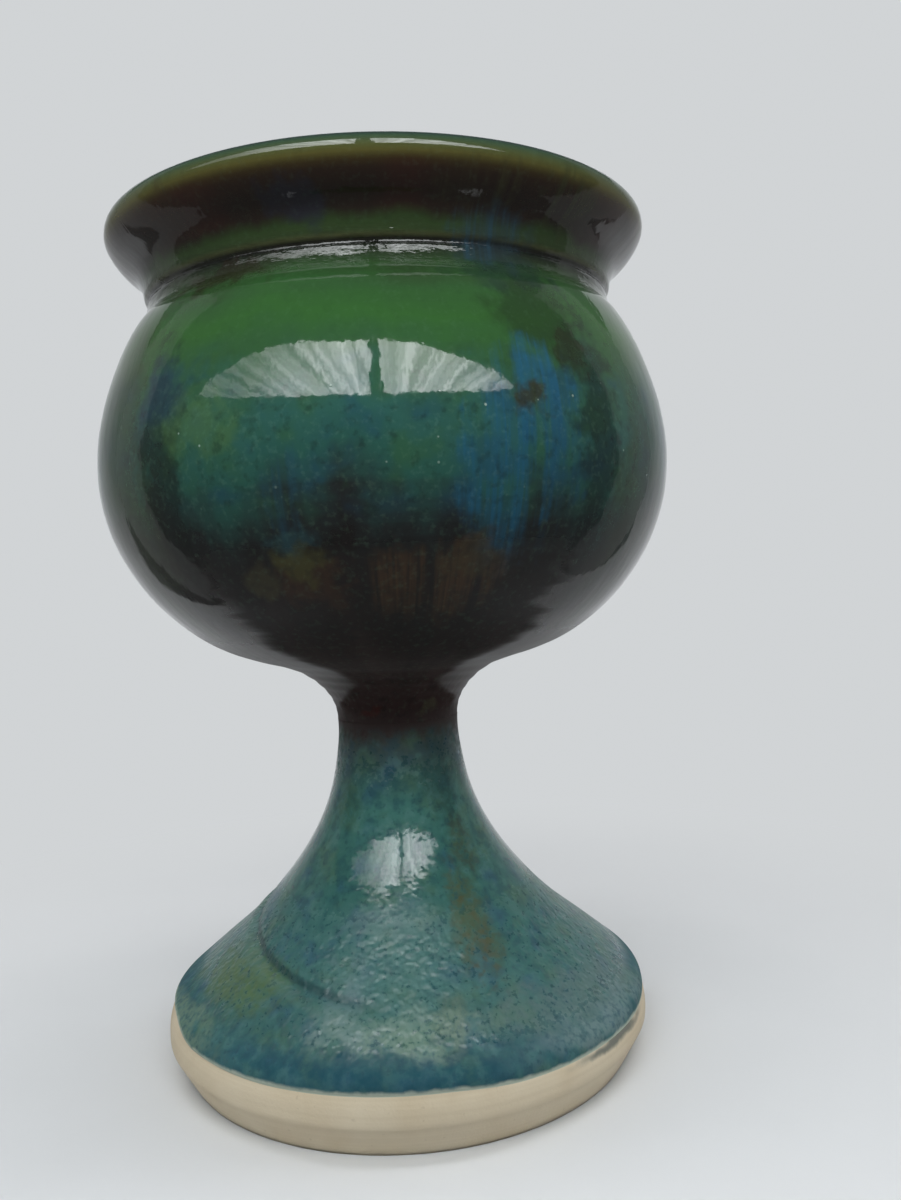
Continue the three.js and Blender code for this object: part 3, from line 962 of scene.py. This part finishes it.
def light_panel(name, distance, low_span, top_span, low_rise, top_rise, material):
    """A sheet of light bent round the goblet. Spans are bearings, rises are above the level, in degrees."""
    spots, tiles = [], []
    for i in range(PANEL_STEPS + 1):
        for span, rise_at in ((low_span, low_rise), (top_span, top_rise)):
            bearing = span[0] + (span[1] - span[0]) * i / PANEL_STEPS
            rise, flat = math.radians(rise_at(bearing)), math.radians(bearing)
            across, ahead = math.sin(flat) * math.cos(rise), -math.cos(flat) * math.cos(rise)
            spots.append(WINDOW_CENTRE + distance * Vector((across, ahead, math.sin(rise))))
        if i:
            k = 2 * i
            tiles.append((k - 2, k - 1, k + 1, k))
    mesh = bpy.data.meshes.new(name)
    mesh.from_pydata(spots, [], tiles)
    mesh.materials.append(material)
    panel = bpy.data.objects.new(name, mesh)
    panel.visible_camera = False
    bpy.context.scene.collection.objects.link(panel)


def light_of(name):
    """A material that only shines, and the socket of its strength."""
    recipe = Recipe(name)
    lit = recipe.add("ShaderNodeEmission", Color=WINDOW_TINT)
    recipe.feed(recipe.tree.nodes["Material Output"].inputs["Surface"], lit.outputs[0])
    recipe.tree.nodes.remove(recipe.shader)
    return recipe, lit.inputs["Strength"]


# How far each edge of a panel is above the level, at a bearing.
def sill(bearing):
    return SILL


def arch(bearing):
    return max(SILL, EAVE - (EAVE - SILL) * abs((bearing - ARCH_MIDDLE) / ARCH_HALF_WIDTH) ** 3)


def side_bottom(bearing):
    return SIDE_BOTTOM


def side_top(bearing):
    return SIDE_TOP


glow, glow_strength = light_of("window_light")
from_fan = glow.sum("SUBTRACT", glow.angle, FAN_MIDDLE)
fan = glow.sum("DIVIDE", from_fan, glow.sum("SUBTRACT", glow.height, FAN_FOOT))
fan = glow.add("ShaderNodeCombineXYZ", X=glow.times(fan, FAN_FOLDS)).outputs[0]
folds = glow.ease(glow.grain(1.0, 4.0, fan), 0.34, 0.66, WINDOW_DIM, WINDOW_BRIGHT)
from_middle = glow.sum("ABSOLUTE", glow.sum("SUBTRACT", glow.angle, BRIGHTEST_AT))
falloff = glow.ease(from_middle, OUTER_SPAN, MIDDLE_SPAN, OUTER_SHARE, MIDDLE_SHARE)
glow.feed(glow_strength, glow.times(folds, falloff))
light_panel("window_left", WINDOW_DISTANCE, *WINDOW_LEFT, sill, arch, glow.material)
light_panel("window_right", WINDOW_DISTANCE, *WINDOW_RIGHT, sill, arch, glow.material)
side_glow, side_strength = light_of("side_light")
side_strength.default_value = SIDE_LIGHT
for side, span in SIDE_SPANS.items():
    light_panel("side_" + side, SIDE_DISTANCE, span, span, side_bottom, side_top, side_glow.material)
over_paper = bpy.data.lights.new("over_paper", "AREA")
over_paper.shape = "RECTANGLE"
over_paper.size, over_paper.size_y, over_paper.energy = LAMP_WIDTH, LAMP_DEPTH, LAMP_WATTS
lamp = bpy.data.objects.new("over_paper", over_paper)
lamp.location = LAMP_PLACE
lamp.rotation_euler = (LAMP_TILT, 0, 0)
lamp.visible_camera = lamp.visible_glossy = False
bpy.context.scene.collection.objects.link(lamp)
room = bpy.data.worlds.new("room")
room.use_nodes = True
air = room.node_tree.nodes["Background"]
air.inputs["Color"].default_value = ROOM_TINT
sight = room.node_tree.nodes.new("ShaderNodeLightPath")
seen = room.node_tree.nodes.new("ShaderNodeMath")
seen.operation = "MULTIPLY_ADD"
seen.inputs[1].default_value, seen.inputs[2].default_value = ROOM_PALE - ROOM_LIGHT, ROOM_LIGHT
room.node_tree.links.new(sight.outputs["Is Camera Ray"], seen.inputs[0])
room.node_tree.links.new(seen.outputs[0], air.inputs["Strength"])
bpy.context.scene.world = room


# Camera: close in front of the goblet, at the height of the lower belly.
# It looks a little down and to the right, and it is tilted a little to one side.
CAMERA_PLACE = Vector((0.0, -0.1644, 0.0770))
CAMERA_YAW, CAMERA_PITCH, CAMERA_ROLL = math.radians(3.31), math.radians(1.88), math.radians(-2.38)
SENSOR_WIDTH = 36.0
FOCAL_PIXELS, FRAME_PIXELS = 995, 1200
NEAREST, FARTHEST = 0.005, 10

ahead = Vector((
    math.sin(CAMERA_YAW) * math.cos(CAMERA_PITCH),
    math.cos(CAMERA_YAW) * math.cos(CAMERA_PITCH),
    -math.sin(CAMERA_PITCH),
))
level = Vector((math.cos(CAMERA_YAW), -math.sin(CAMERA_YAW), 0))
over = level.cross(ahead)
right = math.cos(CAMERA_ROLL) * level + math.sin(CAMERA_ROLL) * over
up = math.cos(CAMERA_ROLL) * over - math.sin(CAMERA_ROLL) * level
eye = bpy.data.cameras.new("camera")
eye.sensor_fit, eye.sensor_width = "AUTO", SENSOR_WIDTH
eye.lens = FOCAL_PIXELS / FRAME_PIXELS * SENSOR_WIDTH
eye.clip_start, eye.clip_end = NEAREST, FARTHEST
camera = bpy.data.objects.new("camera", eye)
turned = Matrix((right, up, -ahead)).transposed().to_4x4()
camera.matrix_world = Matrix.Translation(CAMERA_PLACE) @ turned
bpy.context.scene.collection.objects.link(camera)
bpy.context.scene.camera = camera
bpy.context.scene.view_settings.view_transform = "Standard"
